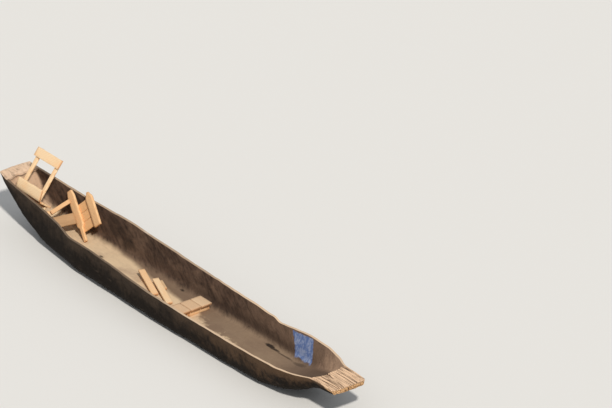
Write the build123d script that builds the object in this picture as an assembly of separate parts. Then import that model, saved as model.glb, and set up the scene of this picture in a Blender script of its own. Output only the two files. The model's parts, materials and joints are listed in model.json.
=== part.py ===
from build123d import *

import os
from math import atan, pi, sqrt, tan

# Dugout canoe: one long log, hollowed out and squared at both ends, with four
# loose low plank chairs standing and lying in it.
# Millimetres. +X runs along the canoe to the end that lies on the bank,
# +Y across it to the far gunwale, +Z up. The origin is the bottom's centre.

# Hull, outside
HULL_LENGTH = 6000
NEAR_SHARE = 0.5167
HULL_BEAM = 800
HULL_DEPTH = 370
BOTTOM_BREADTH = 670
BILGE_RADIUS = 130
TIP_THICKNESS = 62
TIP_CORNER = 14
TIP_TAPER = 0.9
FAR_TIP_BREADTH = 380
FAR_TIP_RISE = 28
NEAR_TIP_BREADTH = 450

# Hull, inside
RIM_THICKNESS = 28
FLOOR_THICKNESS = 85
WALL_SPREAD = 20
HOLLOW_RADIUS = 95
FAR_DECK_LENGTH = 180
NEAR_DECK_LENGTH = 400
END_SLOPE_LENGTH = 170
END_SCOOP_DEPTH = 45
END_SCOOP_SPREAD = 7
END_SCOOP_RADIUS = 30

# Gunwale steps, where the log's edge is worn or was cut lower
FAR_RIM_EXTRA = 34
FAR_STEP_PLACE = 1330
FAR_STEP_DROP = 8
NEAR_DIP_PLACE = -1500
NEAR_DIP_DEPTH = 40
NEAR_DIP_RUN = 220
STEP_RUN = 90

# Room that the cuts leave past the log
HEADROOM = 40
CUT_MARGIN = 50

# Chair timber, and the gap left between a chair and what it rests on
PLANK = 20
BAR_WIDTH = 46
BAR_THICKNESS = 26
RAIL_HEIGHT = 80
POST_WIDTH = 100
CHAIR_WIDTH = 420
SEAT_DEPTH = 210
SEAT_BOARDS = 3
BOARD_GAP = 6
TOP_BOARD_HEIGHT = 106
LOW_BOARD_HEIGHT = 127
REST_GAP = 2
PIECE_GAP = 1

REACH = NEAR_SHARE * HULL_LENGTH
FAR_TIP = REACH - HULL_LENGTH
HALF_BEAM = HULL_BEAM / 2
FAR_DECK_EDGE = FAR_TIP + FAR_DECK_LENGTH
NEAR_DECK_EDGE = REACH - NEAR_DECK_LENGTH

# Columns: place as a share of the reach to the near tip, breadth at the gunwale
# as a share of the half beam, breadth at the bottom's corners as a share of its
# widest, rise of the bottom, and rise of the gunwale over the hull's depth, both
# in millimetres.
STATIONS = [
    (-0.884, 0.575, 0.57, 360, 182),
    (-0.790, 0.610, 0.60, 140, 158),
    (-0.660, 0.670, 0.74, 26, 112),
    (-0.450, 0.880, 0.94, 0, 70),
    (0.000, 0.965, 1.00, 0, 2),
    (0.400, 0.918, 0.98, 0, -14),
    (0.600, 1.000, 0.90, 16, 33),
    (0.720, 0.975, 0.80, 80, 37),
    (0.810, 0.820, 0.68, 180, 38),
    (0.868, 0.600, 0.56, 275, 52),
]
ROOF = HULL_DEPTH + max(row[4] for row in STATIONS) + max(FAR_RIM_EXTRA, FAR_TIP_RISE) + HEADROOM


def between(x, column):
    """A column of the stations at x, on straight runs."""
    share = x / REACH
    for first, last in zip(STATIONS, STATIONS[1:]):
        if share <= last[0]:
            break
    along = (share - first[0]) / (last[0] - first[0])
    return first[column] + (last[column] - first[column]) * along


def sheer(x):
    """Height of the plain gunwale, level along the ends."""
    return HULL_DEPTH + between(min(max(x, FAR_DECK_EDGE), NEAR_DECK_EDGE), 4)


def station_at(x):
    """Half breadth at the gunwale and at the bottom's corners, and rise, at x."""
    return between(x, 1) * HALF_BEAM, between(x, 2) * BOTTOM_BREADTH / 2, between(x, 3)


def floor_top(x):
    """Height of the hollow's floor."""
    return station_at(x)[2] + FLOOR_THICKNESS


def section(x, half_rim, half_low, low, rim, radius):
    """A section across the log at x, flared from its bottom to above its rim."""
    flare = (half_rim - half_low) / (rim - low)
    half_top = half_low + flare * (ROOF - low)
    corners = [(-half_top, ROOF), (-half_low, low), (half_low, low), (half_top, ROOF)]
    outline = make_face(Polyline(*corners, close=True))
    lower = outline.vertices().sort_by(Axis.Y)[:2]
    across = Plane(origin=(x, 0, 0), x_dir=(0, 1, 0), z_dir=(1, 0, 0))
    return across * fillet(lower, radius)


def log_section(x):
    """The outside at x."""
    half_rim, half_low, rise = station_at(x)
    return section(x, half_rim, half_low, rise, sheer(x), BILGE_RADIUS)


def hollow_section(x):
    """The hollow at x, inside the log's walls and above its floor."""
    half_rim, half_low, _ = station_at(x)
    low = floor_top(x)
    inner_low = half_low - WALL_SPREAD
    return section(x, half_rim - RIM_THICKNESS, inner_low, low, sheer(x), HOLLOW_RADIUS)


def hollow_half(x, z):
    """Half breadth of the hollow at x, at a height above its rounded corners."""
    half_rim, half_low, _ = station_at(x)
    inner_low = half_low - WALL_SPREAD
    share = (z - floor_top(x)) / (sheer(x) - floor_top(x))
    return inner_low + share * (half_rim - RIM_THICKNESS - inner_low)


def floor_half(x):
    """Half breadth of the hollow's flat floor, between its rounded corners."""
    half_rim, half_low, _ = station_at(x)
    inner_low = half_low - WALL_SPREAD
    flare = (half_rim - RIM_THICKNESS - inner_low) / (sheer(x) - floor_top(x))
    corner = pi / 2 + atan(flare)
    return inner_low - HOLLOW_RADIUS / tan(corner / 2)


def ground(x, y):
    """Height of the hollow's bottom at x and y, up to its sloping far end."""
    floor_x = max(x, FAR_DECK_EDGE + END_SLOPE_LENGTH)
    over = min(max(abs(y) - floor_half(floor_x), 0), HOLLOW_RADIUS)
    low = floor_top(floor_x)
    low += (sheer(FAR_DECK_EDGE) - END_SCOOP_DEPTH - low) * (floor_x - x) / END_SLOPE_LENGTH
    return low + HOLLOW_RADIUS - sqrt(HOLLOW_RADIUS**2 - over**2)


def end_plate(x, tip, top, tip_breadth):
    """The end that juts out past the hollow and thins to its tip."""
    half_tip = tip_breadth / 2
    low = top - TIP_THICKNESS
    outer = section(tip, half_tip, TIP_TAPER * half_tip, low, top, TIP_CORNER)
    return loft([log_section(x), outer], ruled=True)


def hollow_end(floor_x, rim_x):
    """The hollow's sloping end, from the floor up to a shallow scoop."""
    inner_rim = station_at(rim_x)[0] - RIM_THICKNESS
    low = sheer(rim_x) - END_SCOOP_DEPTH
    inner_low = inner_rim - END_SCOOP_SPREAD
    shallow = section(rim_x, inner_rim, inner_low, low, sheer(rim_x), END_SCOOP_RADIUS)
    return loft([hollow_section(floor_x), shallow], ruled=True)


def waste_above(rim, side):
    """What is above the gunwale on one side, cut from the log."""
    reach = REACH + CUT_MARGIN
    high = ROOF + CUT_MARGIN
    points = [(-reach, high), (-reach, rim[0][1]), *rim, (reach, rim[-1][1]), (reach, high)]
    face = Plane.XZ * make_face(Polyline(*points, close=True))
    return extrude(face, amount=HULL_BEAM, dir=(0, side, 0))


def far_tip():
    """Place and height of the far end's upper edge."""
    return FAR_TIP, sheer(FAR_TIP) + FAR_TIP_RISE


def far_rim():
    """The far gunwale: a raised edge that ends in a step down."""
    raised = [share * REACH for share in (-0.66, -0.45, 0, 0.4)]
    rim = [far_tip(), (FAR_DECK_EDGE, sheer(FAR_DECK_EDGE))]
    rim += [(x, sheer(x) + FAR_RIM_EXTRA) for x in raised]
    start = FAR_STEP_PLACE - STEP_RUN / 2
    end = FAR_STEP_PLACE + STEP_RUN / 2
    rim += [(start, sheer(start) + FAR_RIM_EXTRA), (end, sheer(end) - FAR_STEP_DROP)]
    rim += [(x, sheer(x)) for x in (0.6 * REACH, 0.72 * REACH, NEAR_DECK_EDGE, REACH)]
    return rim


def near_rim():
    """The near gunwale, with one worn dip."""
    dip_start = NEAR_DIP_PLACE - NEAR_DIP_RUN
    dip_end = NEAR_DIP_PLACE + 2 * NEAR_DIP_RUN
    places = [FAR_DECK_EDGE, -0.66 * REACH, dip_start]
    rim = [far_tip()] + [(x, sheer(x)) for x in places]
    rim.append((NEAR_DIP_PLACE, sheer(NEAR_DIP_PLACE) - NEAR_DIP_DEPTH))
    places = [dip_end, 0, 0.4 * REACH, 0.6 * REACH, 0.72 * REACH, NEAR_DECK_EDGE, REACH]
    rim += [(x, sheer(x)) for x in places]
    return rim


def make_hull():
    """The log: shaped outside, hollowed, and cut down to its gunwales."""
    places = [share * REACH for share, *_ in STATIONS]
    log = loft([log_section(x) for x in places], ruled=True)
    log += end_plate(places[0], *far_tip(), FAR_TIP_BREADTH)
    log += end_plate(places[-1], REACH, sheer(REACH), NEAR_TIP_BREADTH)
    far_floor = FAR_DECK_EDGE + END_SLOPE_LENGTH
    near_floor = NEAR_DECK_EDGE - END_SLOPE_LENGTH
    middle = [x for x in places if far_floor + CUT_MARGIN < x < near_floor - CUT_MARGIN]
    hollow = loft([hollow_section(x) for x in [far_floor, *middle, near_floor]], ruled=True)
    log -= hollow
    log -= hollow_end(far_floor, FAR_DECK_EDGE)
    log -= hollow_end(near_floor, NEAR_DECK_EDGE)
    log -= waste_above(far_rim(), 1)
    log -= waste_above(near_rim(), -1)
    return log


def plank(start, end, width, thickness, face):
    """A plank from one end's centre to the other's, its broad face turned to face."""
    start, end = Vector(*start), Vector(*end)
    run = end - start
    grain = run.normalized()
    normal = Vector(*face)
    normal = (normal - grain * normal.dot(grain)).normalized()
    middle = Plane(origin=(start + end) * 0.5, x_dir=grain, z_dir=normal)
    return middle * Box(run.length, width, thickness)


# Every chair in its own frame: X across it, Y forward over its seat, Z up, the
# seat's top at height 0. Its boards run from back to front and lie side by side.
def seat(depth, left, right, start, end, rail_height):
    """Seat boards on a frame of four rails, whose outer faces are given."""
    pieces = {}
    pitch = (CHAIR_WIDTH + BOARD_GAP) / SEAT_BOARDS
    for number in range(SEAT_BOARDS):
        u = (pitch - BOARD_GAP - CHAIR_WIDTH) / 2 + number * pitch
        pieces[f"seat_board_{number + 1}"] = plank(
            (u, 0, -PLANK / 2), (u, depth, -PLANK / 2), pitch - BOARD_GAP, PLANK, (0, 0, 1)
        )
    bar = BAR_THICKNESS
    w = -PLANK - rail_height / 2
    for u, name in ((left + bar / 2, "left"), (right - bar / 2, "right")):
        pieces[f"side_rail_{name}"] = plank((u, start, w), (u, end, w), bar, rail_height, (0, 0, 1))
    for v, name in ((start + bar / 2, "back"), (end - bar / 2, "front")):
        pieces[f"{name}_rail"] = plank(
            (left + bar, v, w), (right - bar, v, w), bar, rail_height, (0, 0, 1)
        )
    return pieces


# Chair 1: tipped forward in the far end, its back's feet by the near wall.
TIPPED_STANDOFF = 329
TIPPED_INSET = 38
TIPPED_RISE = -26
TIPPED_LEAN = 38
TIPPED_SEAT_DEPTH = 160
TIPPED_FRAME_HALF = 142
TIPPED_FRAME_START = 4
TIPPED_FRAME_END = 122
TIPPED_BAR_FOOT = 14
TIPPED_BACK_LENGTH = 499
LOW_BOARD_LEAN = 19
BAR_INSET = 22


def front_legs(place):
    """Two like front legs, as long as the one over the end's slope needs to stand."""
    inset = TIPPED_FRAME_HALF + BAR_WIDTH / 2 + REST_GAP
    length = 0
    for _ in range(8):
        corners = [
            (place * Pos(-inset + side * BAR_WIDTH / 2, v, -PLANK - length)).position
            for side in (-1, 1)
            for v in (TIPPED_FRAME_END - BAR_THICKNESS, TIPPED_FRAME_END)
        ]
        length += min(corner.Z - ground(corner.X, corner.Y) for corner in corners) - REST_GAP
    v = TIPPED_FRAME_END - BAR_THICKNESS / 2
    pieces = {}
    for side, name in ((-1, "left"), (1, "right")):
        start, end = (side * inset, v, -PLANK), (side * inset, v, -PLANK - length)
        pieces[f"front_leg_{name}"] = plank(start, end, BAR_WIDTH, BAR_THICKNESS, (0, 1, 0))
    return pieces


def tipped_chair():
    """A seat on short legs, two back bars that run down past it, and two boards."""
    x = FAR_DECK_EDGE + TIPPED_STANDOFF
    y = TIPPED_INSET - hollow_half(x, sheer(x))
    back = Pos(x, y, sheer(x) + TIPPED_RISE) * Rot(X=-TIPPED_LEAN)
    front = back * Pos(0, BAR_THICKNESS + REST_GAP, 0)
    pieces = seat(
        TIPPED_SEAT_DEPTH, -TIPPED_FRAME_HALF, TIPPED_FRAME_HALF,
        TIPPED_FRAME_START, TIPPED_FRAME_END, BAR_WIDTH
    )
    pieces.update(front_legs(front))
    pieces = {name: front * piece for name, piece in pieces.items()}
    half = CHAIR_WIDTH / 2
    for side, name in ((-1, "left"), (1, "right")):
        u = side * (half - BAR_INSET - BAR_WIDTH / 2)
        start, end = (u, BAR_THICKNESS / 2, -TIPPED_BAR_FOOT), (u, BAR_THICKNESS / 2, TIPPED_BACK_LENGTH)
        pieces[f"back_bar_{name}"] = back * plank(start, end, BAR_WIDTH, BAR_THICKNESS, (0, 1, 0))
    w = TIPPED_BACK_LENGTH - TOP_BOARD_HEIGHT / 2
    v = -PLANK / 2 - PIECE_GAP
    pieces["top_board"] = back * plank((-half, v, w), (half, v, w), TOP_BOARD_HEIGHT, PLANK, (0, 1, 0))
    w = LOW_BOARD_HEIGHT / 2
    low = plank((-half, v, w), (half, v, w), LOW_BOARD_HEIGHT, PLANK, (0, 1, 0))
    pieces["low_back_board"] = back * (Rot(X=LOW_BOARD_LEAN) * low)
    return pieces


# Chair 2: tipped back to the far gunwale, with its front leg to the near side.
POST_FOOT_PLACE = -0.556
POST_FOOT_OFFSET = 88
POST_TOP_PLACE = -0.701
POST_TOP_GAP = 28
POST_TOP_RISE = -23
POST_SHOULDER = 0.23
POST_FOOT_WIDTH = 40
POST_SPACING = 250
POST_DROP = 138
POST_FACING = (0.35, -0.94, 0)
SHORT_POST_LENGTH = 400
BACK_BOARDS = 3
BACK_BOARD_HEIGHT = 102
BACK_BOARD_LENGTH = 310
BACK_BOARD_DROP = 190
CROSS_RAIL_PLACE = 0.82
CROSS_RAIL_LENGTH = 256
CROSS_RAIL_FALL = 0.26
CROSS_BOARD_PLACE = 0.48
CROSS_BOARD_DROP = 120
CROSS_START = 37
FRONT_LEG_GAP = 16
FRONT_LEG_TOP = 30


def leaning_chair():
    """A back of two wide posts and three boards, and a frame to the near wall."""
    foot_x, top_x = POST_FOOT_PLACE * REACH, POST_TOP_PLACE * REACH
    rim = sheer(top_x) + FAR_RIM_EXTRA
    foot = Vector(foot_x, POST_FOOT_OFFSET, floor_top(foot_x) + POST_FOOT_WIDTH / 2)
    top = Vector(top_x, hollow_half(top_x, rim) - POST_TOP_GAP, rim + POST_TOP_RISE)
    run = top - foot
    along = run.normalized()
    facing = Vector(*POST_FACING)
    facing = (facing - along * facing.dot(along)).normalized()
    aside = along.cross(facing)
    shoulder = foot + run * POST_SHOULDER
    post = plank(shoulder, top, POST_WIDTH, BAR_THICKNESS, facing)
    post += plank(foot, shoulder + along * POST_FOOT_WIDTH, POST_FOOT_WIDTH, BAR_THICKNESS, facing)
    pieces = {"corner_post": post}
    short_top = top + aside * POST_SPACING - along * POST_DROP
    pieces["short_post"] = plank(
        short_top, short_top - along * SHORT_POST_LENGTH, POST_WIDTH, BAR_THICKNESS, facing
    )
    behind = facing * -((BAR_THICKNESS + PLANK) / 2 + PIECE_GAP)
    for number in range(BACK_BOARDS):
        drop = BACK_BOARD_DROP + (BACK_BOARD_HEIGHT + PIECE_GAP) * (number + 0.5)
        middle = top + aside * (POST_SPACING / 2) - along * drop + behind
        grain = aside * (BACK_BOARD_LENGTH / 2)
        pieces[f"back_board_{number + 1}"] = plank(
            middle - grain, middle + grain, BACK_BOARD_HEIGHT, PLANK, facing
        )
    across = Vector(0, -1, 0)
    face = along.cross(across).normalized()
    reach = across * CROSS_START
    start = foot + run * CROSS_RAIL_PLACE + reach
    rail_end = start + Vector(0, -1, -CROSS_RAIL_FALL) * CROSS_RAIL_LENGTH
    pieces["cross_rail"] = plank(start, rail_end, BAR_WIDTH, BAR_THICKNESS, face)
    start = foot + run * CROSS_BOARD_PLACE + reach
    board_end = rail_end - along * CROSS_BOARD_DROP
    pieces["cross_board"] = plank(start, board_end, LOW_BOARD_HEIGHT, PLANK, face)
    leg = rail_end + across * (BAR_WIDTH / 2 + FRONT_LEG_GAP)
    length = 0
    for _ in range(8):
        end = leg - along * length
        corners = [
            end + across * (side * BAR_WIDTH / 2) + face * (front * BAR_THICKNESS / 2)
            for side in (-1, 1)
            for front in (-1, 1)
        ]
        length += min(corner.Z - ground(corner.X, corner.Y) for corner in corners) - REST_GAP
    leg_top = leg + along * FRONT_LEG_TOP
    pieces["front_leg"] = plank(leg_top, leg - along * length, BAR_WIDTH, BAR_THICKNESS, face)
    return pieces


# Chair 3: a frame of two slats lying on the floor.
SLAT_LENGTH = 500
SLAT_WIDTH = 72
SLAT_LIFT = 52
SLAT_GRAIN = (-0.92, 0.32, 0.10)
SLATS = [
    # Columns: middle as a share of the reach, distance to the far side
    (-0.176, 36),
    (-0.094, 34),
]
BLOCK_PLACE = -0.140
BLOCK_OFFSET = 148
BLOCK_LENGTH = 187
BLOCK_LIFT = 30
BLOCK_GRAIN = (-0.94, 0.35, 0)


def lying_frame():
    """Two slats, raised at their far ends, and a short block beside them."""
    pieces = {}
    for number, (place, y) in enumerate(SLATS, start=1):
        x = place * REACH
        middle = Vector(x, y, floor_top(x) + SLAT_LIFT)
        grain = Vector(*SLAT_GRAIN).normalized() * (SLAT_LENGTH / 2)
        pieces[f"slat_{number}"] = plank(
            middle - grain, middle + grain, SLAT_WIDTH, PLANK, (0, 0, 1)
        )
    x = BLOCK_PLACE * REACH
    middle = Vector(x, BLOCK_OFFSET, floor_top(x) + BLOCK_LIFT)
    grain = Vector(*BLOCK_GRAIN).normalized() * (BLOCK_LENGTH / 2)
    pieces["block"] = plank(
        middle - grain, middle + grain, 2 * PLANK, BAR_THICKNESS, (0, 0, 1)
    )
    return pieces


# Chair 4: a seat lying flat across the floor, its frame shifted to the far side.
FLAT_SEAT_PLACE = 0.0355
FLAT_SEAT_REACH = 8
FLAT_FRAME_NEAR = 88
FLAT_FRAME_START = 42
FLAT_FRAME_END = 168


def flat_seat():
    """A seat with no legs, standing on its rails."""
    pieces = seat(
        SEAT_DEPTH, -CHAIR_WIDTH / 2, FLAT_FRAME_NEAR, FLAT_FRAME_START, FLAT_FRAME_END, RAIL_HEIGHT
    )
    x = FLAT_SEAT_PLACE * REACH
    z = floor_top(x) + REST_GAP + RAIL_HEIGHT + PLANK
    y = floor_half(x) - CHAIR_WIDTH / 2 + FLAT_SEAT_REACH
    place = Pos(x, y, z) * Rot(Z=-90)
    return {name: place * piece for name, piece in pieces.items()}


CHAIRS = [
    # Columns: name, maker
    ("chair_1", tipped_chair),
    ("chair_2", leaning_chair),
    ("chair_3", lying_frame),
    ("chair_4", flat_seat),
]

os.makedirs("parts", exist_ok=True)
export_step(make_hull(), "parts/hull.step")
for chair, maker in CHAIRS:
    for name, piece in maker().items():
        export_step(piece, f"parts/{chair}_{name}.step")
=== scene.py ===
"""Looks of a dugout canoe with four loose plank chairs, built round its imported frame."""

import json
import logging
import math
from collections.abc import Mapping, Sequence
from dataclasses import dataclass
from enum import Enum
from functools import reduce
from typing import Any, NamedTuple

import bpy
import numpy as np
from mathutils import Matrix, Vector
from numpy.typing import NDArray


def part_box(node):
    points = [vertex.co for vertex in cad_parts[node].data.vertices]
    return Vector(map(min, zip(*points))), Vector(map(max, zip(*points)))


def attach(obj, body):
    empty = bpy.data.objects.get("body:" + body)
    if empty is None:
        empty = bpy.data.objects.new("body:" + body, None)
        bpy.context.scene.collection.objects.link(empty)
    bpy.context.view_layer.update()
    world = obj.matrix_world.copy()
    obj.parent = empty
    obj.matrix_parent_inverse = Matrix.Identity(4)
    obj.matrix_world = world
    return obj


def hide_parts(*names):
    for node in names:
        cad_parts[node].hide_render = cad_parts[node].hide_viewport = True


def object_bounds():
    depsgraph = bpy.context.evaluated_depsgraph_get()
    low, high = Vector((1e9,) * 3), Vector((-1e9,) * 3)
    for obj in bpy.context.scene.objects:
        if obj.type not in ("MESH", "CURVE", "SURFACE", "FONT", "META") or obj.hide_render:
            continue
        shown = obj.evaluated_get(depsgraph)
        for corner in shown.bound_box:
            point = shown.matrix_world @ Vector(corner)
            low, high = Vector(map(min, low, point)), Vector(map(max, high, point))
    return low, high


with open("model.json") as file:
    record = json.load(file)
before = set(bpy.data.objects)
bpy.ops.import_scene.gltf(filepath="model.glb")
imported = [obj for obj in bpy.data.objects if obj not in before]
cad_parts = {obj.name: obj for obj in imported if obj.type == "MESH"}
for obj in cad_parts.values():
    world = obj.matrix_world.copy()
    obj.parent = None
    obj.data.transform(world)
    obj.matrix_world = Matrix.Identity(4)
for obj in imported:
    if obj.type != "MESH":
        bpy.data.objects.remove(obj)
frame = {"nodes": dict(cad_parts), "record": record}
CAD_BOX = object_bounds()
LOG = logging.getLogger("canoe")

Numbers = NDArray[np.float64]
Triple = tuple[float, float, float]
Rgb = tuple[int, int, int]
Settings = Mapping[str, Any]
Inputs = Mapping[int | str, Any]


class Side(Enum):
    """The two sides of the canoe, by the sign of their places across it."""

    FAR = 1
    NEAR = -1


class Slot(Enum):
    """The record's material slots."""

    LOG = "log_wood"
    CHAIR = "chair_wood"


def linear(colour: Rgb) -> tuple[float, float, float, float]:
    """Turn a colour as a screen shows it into the light values that a shader takes.

    Args:
        colour: Red, green and blue from 0 to 255.

    Returns:
        Linear red, green, blue and a full alpha.
    """
    parts = [channel / 255 for channel in colour]
    red, green, blue = (
        part / 12.92 if part <= 0.04045 else ((part + 0.055) / 1.055) ** 2.4 for part in parts
    )
    return red, green, blue, 1.0


class Result:
    """What a node of a material gives."""

    def __init__(self, shader: "Shader", socket: bpy.types.NodeSocket) -> None:
        """Keep the shader and the socket that gives the result."""
        self.shader = shader
        self.socket = socket


class Value(Result):
    """A number in a material's node tree, written with Python's own operators."""

    def maths(self, operation: str, *terms: "Value | float") -> "Value":
        """Return what a Math node makes of the terms, which go into its sockets in order."""
        values = dict(enumerate(terms))
        return self.shader.node("ShaderNodeMath", {"operation": operation}, values)

    def __add__(self, other: "Value | float") -> "Value":
        """Return the sum."""
        return self.maths("ADD", self, other)

    __radd__ = __add__

    def __sub__(self, other: "Value | float") -> "Value":
        """Return the difference."""
        return self.maths("SUBTRACT", self, other)

    def __rsub__(self, other: float) -> "Value":
        """Return a number less this one."""
        return self.maths("SUBTRACT", other, self)

    def __mul__(self, other: "Value | float") -> "Value":
        """Return the product."""
        return self.maths("MULTIPLY", self, other)

    def swing(self, size: float) -> "Value":
        """Return a noise as a swing round 0, by half the size either way."""
        return (self - 0.5) * size

    def sine(self) -> "Value":
        """Return the sine of this number in radians."""
        return self.maths("SINE", self)

    def most(self, other: "Value | float") -> "Value":
        """Return the greater of the two."""
        return self.maths("MAXIMUM", self, other)

    def rise(self, low: float, high: float) -> "Value":
        """Ease from 0 to 1 between two values of this number.

        Args:
            low: Where the result is 0.
            high: Where the result is 1. It may be under low, for a fall.

        Returns:
            The eased value, held at 0 and 1 outside.
        """
        return self.shader.node(
            "ShaderNodeMapRange",
            {"interpolation_type": "SMOOTHSTEP"},
            {"Value": self, "From Min": low, "From Max": high},
        )


class Place(Result):
    """A point or vector in a material's node tree."""

    def _vector(self, operation: str, other: "Place | Triple") -> "Place":
        """Add a Vector Math node with two inputs."""
        return self.shader.vector("ShaderNodeVectorMath", {"operation": operation}, {0: self, 1: other})

    def __mul__(self, other: Triple) -> "Place":
        """Return the vector scaled along each axis."""
        return self._vector("MULTIPLY", other)

    def __sub__(self, other: Triple) -> "Place":
        """Return the vector from a point."""
        return self._vector("SUBTRACT", other)

    def __add__(self, other: "Place | Triple") -> "Place":
        """Return the sum of two vectors."""
        return self._vector("ADD", other)

    def length(self) -> Value:
        """Return the vector's length."""
        return self.shader.node("ShaderNodeVectorMath", {"operation": "LENGTH"}, {0: self}, "Value")

    def parts(self) -> tuple[Value, Value, Value]:
        """Split the vector.

        Returns:
            Its three parts along the axes.
        """
        node = self.shader.node("ShaderNodeSeparateXYZ", {}, {"Vector": self}).socket.node
        first, second, third = (Value(self.shader, socket) for socket in node.outputs)
        return first, second, third


class Paint(Result):
    """A colour in a material's node tree."""

    def under(self, other: "Paint | Rgb", share: Value | float) -> "Paint":
        """Lay another colour over this one, with how much of it shows from 0 to 1."""
        return self.shader.mix(share, self, other)

    def layers(self, *layers: "tuple[Paint | Rgb, Value | float]") -> "Paint":
        """Lay several colours over this one, each with how much of it shows."""
        return reduce(lambda below, layer: below.under(*layer), layers, self)


class Shader:
    """A material and the nodes that are added to it."""

    def __init__(self, name: str) -> None:
        """Make a material with a plain surface shader.

        Args:
            name: The material's name.
        """
        self.material = bpy.data.materials.new(name)
        self.material.use_nodes = True
        self.tree = self.material.node_tree
        self.surface = self.tree.nodes["Principled BSDF"]

    @staticmethod
    def _socket(sockets: Any, key: int | str) -> bpy.types.NodeSocket:
        """Find one of a node's sockets.

        Args:
            sockets: The node's inputs or its outputs.
            key: The socket's place, identifier or name.

        Returns:
            The socket.
        """
        if isinstance(key, int):
            return sockets[key]
        named = [socket for socket in sockets if socket.identifier == key]
        return named[0] if named else sockets[key]

    def node(self, kind: str, settings: Settings, values: Inputs, output: int | str = 0) -> Value:
        """Add a node, its settings first and then what goes into its sockets.

        Args:
            kind: The node's type.
            settings: The node's own settings, such as a Math node's operation.
            values: A value or another node's result for each socket that isn't left as it is.
            output: The socket whose result is wanted.

        Returns:
            That result.
        """
        node = self.tree.nodes.new(kind)
        for name, value in settings.items():
            setattr(node, name, value)
        for key, value in values.items():
            self.feed(self._socket(node.inputs, key), value)
        return Value(self, self._socket(node.outputs, output))

    def vector(self, kind: str, settings: Settings, values: Inputs, output: int | str = 0) -> Place:
        """Add a node whose result is a vector; it takes what node takes."""
        return Place(self, self.node(kind, settings, values, output).socket)

    def feed(self, socket: bpy.types.NodeSocket, value: Any) -> None:
        """Link a result to a socket, or set the socket.

        Args:
            socket: The socket.
            value: A result of another node, or a plain number, vector or colour.
        """
        if isinstance(value, Result):
            self.tree.links.new(value.socket, socket)
        else:
            socket.default_value = value

    def place(self) -> Place:
        """Return the surface's own place, in metres in the canoe's frame."""
        return self.vector("ShaderNodeTexCoord", {}, {}, "Object")

    def mark(self, name: str) -> Value:
        """Return a number that the mesh keeps at each of its points."""
        return self.node("ShaderNodeAttribute", {"attribute_name": name}, {}, "Fac")

    def kept_place(self, name: str) -> Place:
        """Return a vector that the mesh keeps at each of its points."""
        return self.vector("ShaderNodeAttribute", {"attribute_name": name}, {}, "Vector")

    def noise(self, place: Place, detail: float = 4, rough: float = 0.55, twist: float = 0) -> Value:
        """Return cloudy noise round 0.5, with one cloud to about each unit of the place."""
        values = {"Vector": place, "Scale": 1.0, "Detail": detail, "Roughness": rough, "Distortion": twist}
        return self.node("ShaderNodeTexNoise", {}, values)

    def cracks(self, place: Place, width: float) -> Value:
        """Narrow lines between drawn-out cells.

        Args:
            place: Where to read the cells; one unit is about one cell.
            width: Half a line's width, as a share of a cell.

        Returns:
            1 in the middle of a line and 0 off it.
        """
        feature = {"feature": "DISTANCE_TO_EDGE"}
        edge = self.node("ShaderNodeTexVoronoi", feature, {"Vector": place, "Scale": 1.0})
        return edge.rise(width, width * 0.2)

    def mix(self, share: Value | float, first: Paint | Rgb, second: Paint | Rgb) -> Paint:
        """Mix two colours.

        Args:
            share: 0 for the first colour, 1 for the second.
            first: The colour below.
            second: The colour on top.

        Returns:
            The mixed colour.
        """
        below, above = (linear(end) if isinstance(end, tuple) else end for end in (first, second))
        values = {"Factor_Float": share, "A_Color": below, "B_Color": above}
        return Paint(self, self.node("ShaderNodeMix", {"data_type": "RGBA"}, values, "Result_Color").socket)

    def finish(
        self, colour: Paint, roughness: Value | float, height: Value, depth: float
    ) -> bpy.types.Material:
        """Join what was made to the surface.

        Args:
            colour: The base colour.
            roughness: The roughness.
            height: The relief, from 0 to 1.
            depth: The relief's depth in metres.

        Returns:
            The finished material.
        """
        relief = {"Height": height, "Distance": depth, "Strength": 1.0}
        bump = self.node("ShaderNodeBump", {}, relief, "Normal")
        for name, value in (("Base Color", colour), ("Roughness", roughness), ("Normal", bump)):
            self.feed(self.surface.inputs[name], value)
        return self.material


@dataclass(frozen=True)
class Ripple:
    """Smooth seeded unevenness over two coordinates, as hand tools leave it.

    Attributes:
        seed: Which pattern it is.
        long: Metres from bump to bump along the first coordinate.
        short: The same along the second.
        height: Half the height between its hollows and its tops, in metres.
    """

    seed: int
    long: float
    short: float
    height: float

    def at(self, first: Numbers, second: Numbers | float = 0.0) -> Numbers:
        """Read the unevenness.

        Args:
            first: The first coordinate, in metres.
            second: The second coordinate, in metres.

        Returns:
            The height at each place, in metres.
        """
        cells = 64
        table = np.random.default_rng(self.seed).uniform(-1, 1, (cells, cells))
        first, second = np.broadcast_arrays(first / self.long, np.asarray(second) / self.short)
        column, row = np.floor(first).astype(int), np.floor(second).astype(int)
        across, up = first - column, second - row
        across, up = across * across * (3 - 2 * across), up * up * (3 - 2 * up)

        def corner(right: int, above: int) -> Numbers:
            """Return the table's value at one corner of each cell."""
            return table[(column + right) % cells, (row + above) % cells]

        low = corner(0, 0) * (1 - across) + corner(1, 0) * across
        high = corner(0, 1) * (1 - across) + corner(1, 1) * across
        return self.height * (low * (1 - up) + high * up)


def layered(ripples: Sequence[Ripple], first: Numbers, second: Numbers | float = 0.0) -> Numbers:
    """Return the sum of several ripples, read at the same places."""
    return np.sum([ripple.at(first, second) for ripple in ripples], axis=0)


def ease(values: Numbers, low: float, high: float) -> Numbers:
    """Return the numbers eased from 0 at low to 1 at high, and held there outside."""
    share = np.clip((values - low) / (high - low), 0, 1)
    return share * share * (3 - 2 * share)


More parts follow.
